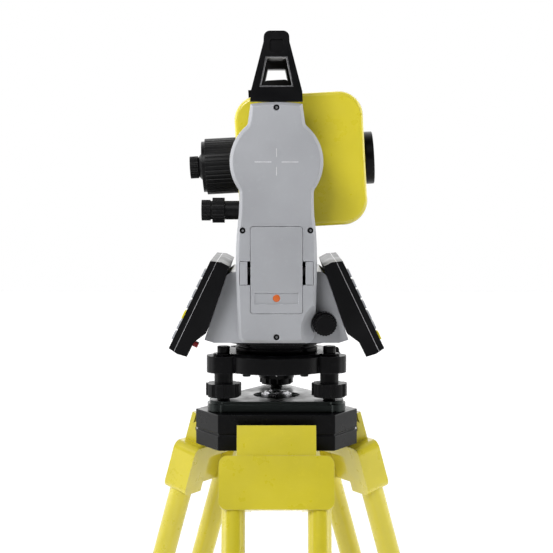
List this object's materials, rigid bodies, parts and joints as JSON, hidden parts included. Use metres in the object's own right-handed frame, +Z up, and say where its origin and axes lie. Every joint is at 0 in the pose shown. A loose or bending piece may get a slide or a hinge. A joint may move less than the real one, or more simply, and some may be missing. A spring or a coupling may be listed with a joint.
{
  "type": "electronic theodolite on a tripod",
  "caption": "Electronic theodolite with a tilting yellow telescope, grey side covers and two sloping key panels, on a tribrach and a folding yellow tripod with sliding legs.",
  "frame": {"origin": "on the ground, on the vertical axis, under the middle of the tripod", "axes": "+Z up along the vertical axis; -Y towards the near side cover with the battery; +X the way the objective points"},
  "size_m": [0.6864, 0.6097, 1.3664],
  "materials": {
    "yellow_paint": "satin",
    "grey_paint": "satin",
    "black_paint": "satin",
    "black_plastic": "matte",
    "black_rubber": "matte",
    "tool_steel": "satin",
    "bright_steel": "brushed",
    "key_grey": "matte",
    "key_yellow": "matte",
    "display_glass": "gloss",
    "lens_glass": "gloss",
    "circle_glass": "gloss"
  },
  "bodies": {
    "stand": {"stand_head": "black_paint", "leg_hinge_pins": "bright_steel", "base_plate": "tool_steel", "fixing_bush": "bright_steel", "tribrach_body": "black_paint", "foot_screw_caps": "black_paint", "round_level": "bright_steel", "spindle": "bright_steel", "base_ring": "black_paint", "horizontal_circle": "circle_glass"},
    "fixing_screw": {"fixing_screw": "tool_steel"},
    "leg_front": {"upper_leg_front": "yellow_paint", "clamp_block_front": "black_plastic"},
    "lower_leg_front": {"lower_leg_front": "yellow_paint", "leg_foot_front": "bright_steel"},
    "clamp_knob_front": {"clamp_knob_front": "black_plastic"},
    "leg_right": {"upper_leg_right": "yellow_paint", "clamp_block_right": "black_plastic"},
    "lower_leg_right": {"lower_leg_right": "yellow_paint", "leg_foot_right": "bright_steel"},
    "clamp_knob_right": {"clamp_knob_right": "black_plastic"},
    "leg_left": {"upper_leg_left": "yellow_paint", "clamp_block_left": "black_plastic"},
    "lower_leg_left": {"lower_leg_left": "yellow_paint", "leg_foot_left": "bright_steel"},
    "clamp_knob_left": {"clamp_knob_left": "black_plastic"},
    "foot_screw_left": {"foot_screw_left": "black_plastic"},
    "foot_screw_right": {"foot_screw_right": "black_plastic"},
    "foot_screw_rear": {"foot_screw_rear": "black_plastic"},
    "lock_knob": {"lock_knob": "black_plastic"},
    "alidade": {"base_housing": "grey_paint", "near_standard": "grey_paint", "far_standard": "grey_paint", "near_cover": "grey_paint", "far_cover": "grey_paint", "housing_screws": "black_paint", "carry_handle": "black_plastic", "panel_shell_left": "black_plastic", "panel_shell_right": "black_plastic", "display_windows": "display_glass", "vertical_circle": "circle_glass"},
    "battery_pack": {"battery_pack": "grey_paint"},
    "battery_latch_left": {"battery_latch_left": "grey_paint"},
    "battery_latch_right": {"battery_latch_right": "grey_paint"},
    "horizontal_clamp": {"horizontal_clamp_ring": "black_plastic"},
    "horizontal_tangent": {"horizontal_tangent_knob": "black_plastic"},
    "vertical_clamp": {"vertical_clamp_ring": "black_plastic"},
    "vertical_tangent": {"vertical_tangent_knob": "black_plastic"},
    "keypad_left": {"keypad_left": "key_grey", "power_key_left": "key_yellow"},
    "keypad_right": {"keypad_right": "key_grey", "power_key_right": "key_yellow"},
    "telescope": {"telescope_body": "yellow_paint", "tilt_axles": "bright_steel", "objective_ring": "black_paint", "objective_lens": "lens_glass", "sight_collimator": "black_plastic"},
    "focus_ring": {"focus_ring": "black_rubber"},
    "focusing_lens": {"focusing_lens": "lens_glass"},
    "eyepiece_ring": {"eyepiece_ring": "black_plastic"}
  },
  "joints": [
    {"name": "fixing_screw_turn", "type": "hinge", "parent": "stand", "child": "fixing_screw", "pos_m": [0, 0, 0.94], "axis": [0, 0, 1], "continuous": true},
    {"name": "leg_front_spread", "type": "hinge", "parent": "stand", "child": "leg_front", "pos_m": [0, -0.069, 0.976], "axis": [-1, 0, 0], "range_deg": [-17, 18]},
    {"name": "leg_front_extend", "type": "slide", "parent": "leg_front", "child": "lower_leg_front", "axis": [0, -0.2957, -0.9553], "range_m": [0, 0.45]},
    {"name": "clamp_knob_front_turn", "type": "hinge", "parent": "leg_front", "child": "clamp_knob_front", "pos_m": [0, -0.32732, 0.14152], "axis": [0, -0.9553, 0.2957], "range_deg": [0, 180]},
    {"name": "leg_right_spread", "type": "hinge", "parent": "stand", "child": "leg_right", "pos_m": [0.05976, 0.0345, 0.976], "axis": [0.5, -0.866, 0], "range_deg": [-17, 18]},
    {"name": "leg_right_extend", "type": "slide", "parent": "leg_right", "child": "lower_leg_right", "axis": [0.2561, 0.1479, -0.9553], "range_m": [0, 0.45]},
    {"name": "clamp_knob_right_turn", "type": "hinge", "parent": "leg_right", "child": "clamp_knob_right", "pos_m": [0.28346, 0.16366, 0.14152], "axis": [0.8273, 0.4776, 0.2957], "range_deg": [0, 180]},
    {"name": "leg_left_spread", "type": "hinge", "parent": "stand", "child": "leg_left", "pos_m": [-0.05976, 0.0345, 0.976], "axis": [0.5, 0.866, 0], "range_deg": [-17, 18]},
    {"name": "leg_left_extend", "type": "slide", "parent": "leg_left", "child": "lower_leg_left", "axis": [-0.2561, 0.1479, -0.9553], "range_m": [0, 0.45]},
    {"name": "clamp_knob_left_turn", "type": "hinge", "parent": "leg_left", "child": "clamp_knob_left", "pos_m": [-0.28346, 0.16366, 0.14152], "axis": [-0.8273, 0.4776, 0.2957], "range_deg": [0, 180]},
    {"name": "foot_screw_left_turn", "type": "hinge", "parent": "stand", "child": "foot_screw_left", "pos_m": [-0.05207, -0.0308, 1.02], "axis": [0, 0, 1], "continuous": true},
    {"name": "foot_screw_right_turn", "type": "hinge", "parent": "stand", "child": "foot_screw_right", "pos_m": [0.05207, -0.0308, 1.02], "axis": [0, 0, 1], "continuous": true},
    {"name": "foot_screw_rear_turn", "type": "hinge", "parent": "stand", "child": "foot_screw_rear", "pos_m": [0, 0.0605, 1.02], "axis": [0, 0, 1], "continuous": true},
    {"name": "lock_knob_turn", "type": "hinge", "parent": "stand", "child": "lock_knob", "pos_m": [0.05629, 0.0325, 1.048], "axis": [0.866, 0.5, 0], "range_deg": [0, 90]},
    {"name": "alidade_turn", "type": "hinge", "parent": "stand", "child": "alidade", "pos_m": [0, 0, 1.1], "axis": [0, 0, 1], "continuous": true},
    {"name": "battery_slide", "type": "slide", "parent": "alidade", "child": "battery_pack", "axis": [0, -1, 0], "range_m": [0, 0.04]},
    {"name": "battery_latch_left_press", "type": "slide", "parent": "alidade", "child": "battery_latch_left", "axis": [1, 0, 0], "range_m": [0, 0.002], "stiffness_N_per_m": 800},
    {"name": "battery_latch_right_press", "type": "slide", "parent": "alidade", "child": "battery_latch_right", "axis": [-1, 0, 0], "range_m": [0, 0.002], "stiffness_N_per_m": 800},
    {"name": "horizontal_clamp_turn", "type": "hinge", "parent": "alidade", "child": "horizontal_clamp", "pos_m": [0.046, -0.07, 1.09], "axis": [0, -1, 0], "range_deg": [0, 90]},
    {"name": "horizontal_tangent_turn", "type": "hinge", "parent": "alidade", "child": "horizontal_tangent", "pos_m": [0.046, -0.08, 1.09], "axis": [0, -1, 0], "continuous": true},
    {"name": "vertical_clamp_turn", "type": "hinge", "parent": "alidade", "child": "vertical_clamp", "pos_m": [-0.056, -0.052, 1.198], "axis": [-1, 0, 0], "range_deg": [0, 90]},
    {"name": "vertical_tangent_turn", "type": "hinge", "parent": "alidade", "child": "vertical_tangent", "pos_m": [-0.066, -0.052, 1.198], "axis": [-1, 0, 0], "continuous": true},
    {"name": "keypad_left_press", "type": "slide", "parent": "alidade", "child": "keypad_left", "axis": [0.9018, 0, -0.4321], "range_m": [0, 0.001], "stiffness_N_per_m": 600},
    {"name": "keypad_right_press", "type": "slide", "parent": "alidade", "child": "keypad_right", "axis": [-0.9018, 0, -0.4321], "range_m": [0, 0.001], "stiffness_N_per_m": 600},
    {"name": "telescope_tilt", "type": "hinge", "parent": "alidade", "child": "telescope", "pos_m": [0, 0, 1.244], "axis": [0, -1, 0], "continuous": true},
    {"name": "focus_ring_turn", "type": "hinge", "parent": "telescope", "child": "focus_ring", "pos_m": [0, 0, 1.244], "axis": [0.9984, 0, 0.0558], "range_deg": [0, 270]},
    {"name": "focusing_lens_slide", "type": "slide", "parent": "telescope", "child": "focusing_lens", "axis": [0.9984, 0, 0.0558], "range_m": [0, 0.0142]},
    {"name": "eyepiece_turn", "type": "hinge", "parent": "telescope", "child": "eyepiece_ring", "pos_m": [0, 0, 1.244], "axis": [0.9984, 0, 0.0558], "range_deg": [-150, 150]}
  ],
  "couplings": [
    {"joint": "focusing_lens_slide", "follows": "focus_ring_turn", "m_per_rad": 0.002971}
  ]
}
